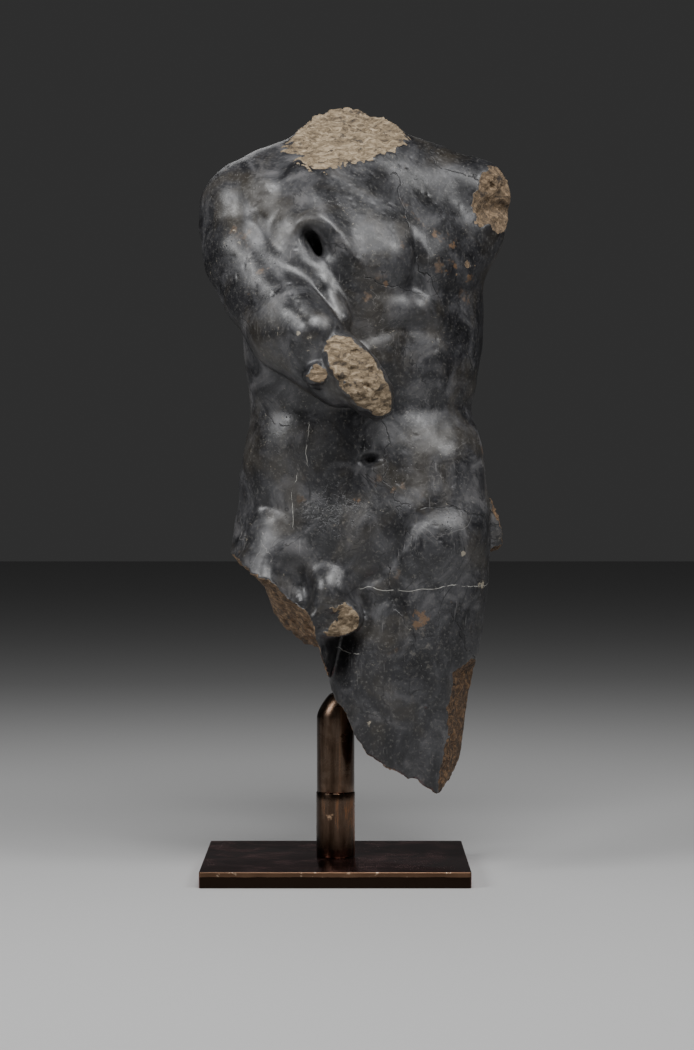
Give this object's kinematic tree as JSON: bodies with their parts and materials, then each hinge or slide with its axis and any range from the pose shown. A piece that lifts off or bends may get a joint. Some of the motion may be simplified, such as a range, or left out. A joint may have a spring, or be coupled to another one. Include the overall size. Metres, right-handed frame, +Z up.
{
  "type": "marble torso sculpture",
  "caption": "Broken dark marble torso of a youth, one arm held across the body, standing on a round metal post with a flat square-edged base plate.",
  "frame": {"origin": "middle of the base plate's underside, on the axis of the post", "axes": "+Z up, the front of the figure looks towards -Y, +X is the viewer's right"},
  "size_m": [0.3986, 0.3386, 0.9791],
  "materials": {
    "dark_marble": "polished dark grey veined marble, rough tan stone on the breaks",
    "post_bronze": "dark brown patinated bronze, satin gloss, worn to copper in spots",
    "plate_bronze": "dark brown patinated bronze, glossy top with worn streaks and edges"
  },
  "bodies": {
    "root": {"base_plate": "plate_bronze", "lower_post": "post_bronze", "upper_post": "post_bronze", "marble_torso": "dark_marble"}
  },
  "joints": []
}
